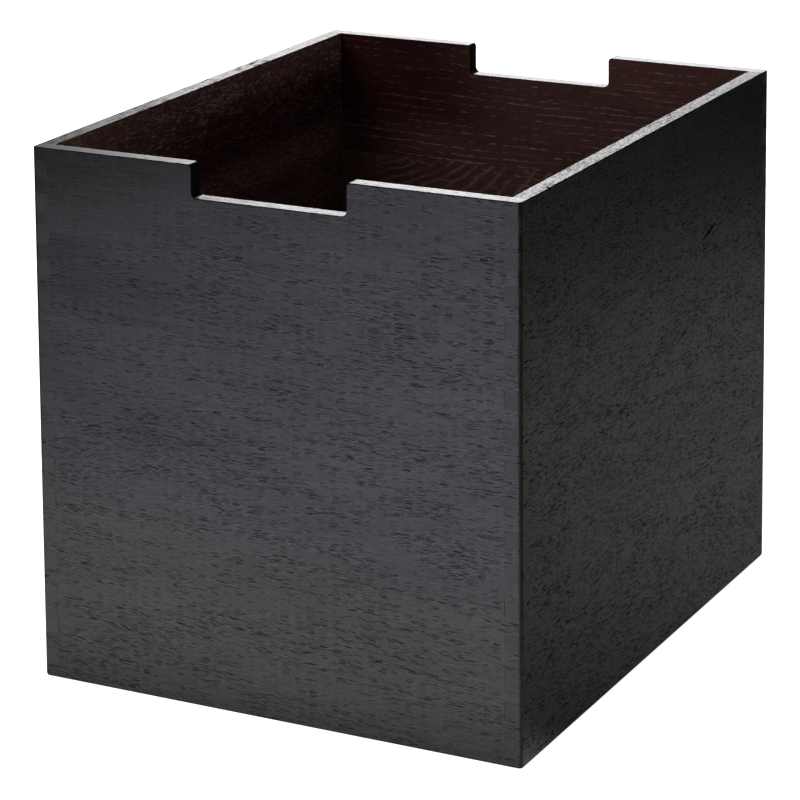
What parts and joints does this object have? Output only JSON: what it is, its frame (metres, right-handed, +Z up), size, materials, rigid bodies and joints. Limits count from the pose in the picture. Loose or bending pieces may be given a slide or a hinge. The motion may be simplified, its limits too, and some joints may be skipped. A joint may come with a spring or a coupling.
{
  "type": "open finger-jointed storage box",
  "caption": "Open-topped storage box of dark stained wood, with finger-jointed corners and a hand-hold notch in the rim of each narrow wall.",
  "frame": {"origin": "middle of the footprint, on the ground plane the box stands on", "axes": "+Z up; +Y along the long plain side walls, so the notched narrow walls face -Y (front) and +Y (back); +X across, towards the right side wall"},
  "size_m": [0.28, 0.34, 0.29],
  "materials": {
    "stained_front_wall": "black-stained open-pored hardwood under a thin satin lacquer, grain running horizontally, pores left open",
    "stained_right_wall": "black-stained open-pored hardwood under a thin satin lacquer, grain running horizontally, pores left open",
    "stained_back_wall": "black-stained open-pored hardwood under a thin satin lacquer, grain running horizontally, pores left open",
    "stained_left_wall": "black-stained open-pored hardwood under a thin satin lacquer, grain running horizontally, pores left open",
    "stained_bottom_panel": "black-stained wood panel, satin, slightly browner than the walls"
  },
  "bodies": {
    "root": {"front_wall_stave_1": "stained_front_wall", "front_wall_stave_2": "stained_front_wall", "front_wall_stave_3": "stained_front_wall", "front_wall_stave_4": "stained_front_wall", "front_wall_stave_5": "stained_front_wall", "front_wall_stave_6": "stained_front_wall", "front_wall_stave_7": "stained_front_wall", "back_wall_stave_1": "stained_back_wall", "back_wall_stave_2": "stained_back_wall", "back_wall_stave_3": "stained_back_wall", "back_wall_stave_4": "stained_back_wall", "back_wall_stave_5": "stained_back_wall", "back_wall_stave_6": "stained_back_wall", "back_wall_stave_7": "stained_back_wall", "left_wall_stave_1": "stained_left_wall", "left_wall_stave_2": "stained_left_wall", "left_wall_stave_3": "stained_left_wall", "left_wall_stave_4": "stained_left_wall", "left_wall_stave_5": "stained_left_wall", "left_wall_stave_6": "stained_left_wall", "left_wall_stave_7": "stained_left_wall", "right_wall_stave_1": "stained_right_wall", "right_wall_stave_2": "stained_right_wall", "right_wall_stave_3": "stained_right_wall", "right_wall_stave_4": "stained_right_wall", "right_wall_stave_5": "stained_right_wall", "right_wall_stave_6": "stained_right_wall", "right_wall_stave_7": "stained_right_wall", "bottom_panel": "stained_bottom_panel"}
  },
  "joints": []
}
